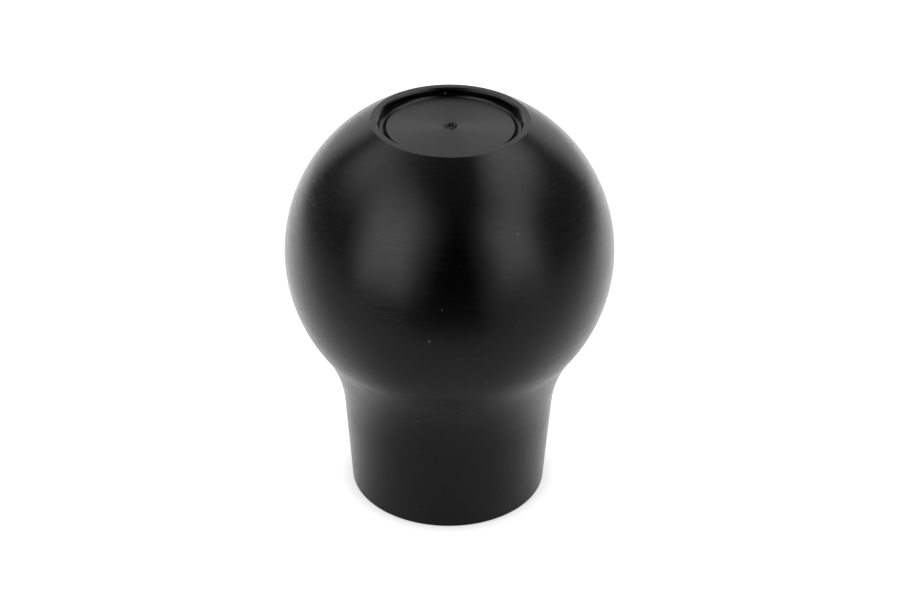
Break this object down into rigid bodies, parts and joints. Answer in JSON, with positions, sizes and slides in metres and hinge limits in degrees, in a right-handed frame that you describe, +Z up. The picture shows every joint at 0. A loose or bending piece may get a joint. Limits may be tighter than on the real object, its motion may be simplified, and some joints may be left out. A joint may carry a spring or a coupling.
{
  "type": "gear shift knob",
  "caption": "Round gear shift knob turned in one piece: a ball with a flat rim and a shallow badge recess on top, blending into a tapered neck with a threaded hole for the lever.",
  "frame": {"origin": "centre of the base that the knob stands on, where the lever enters", "axes": "+Z up along the turning axis, from the threaded base to the flat rim on top; the knob is the same all round, so X and Y are free"},
  "size_m": [0.0508, 0.0508, 0.064],
  "materials": {
    "black_acetal": "satin, as turned: black acetal with fine concentric turning marks and light handling scratches"
  },
  "bodies": {
    "root": {"knob_body": "black_acetal"}
  },
  "joints": []
}
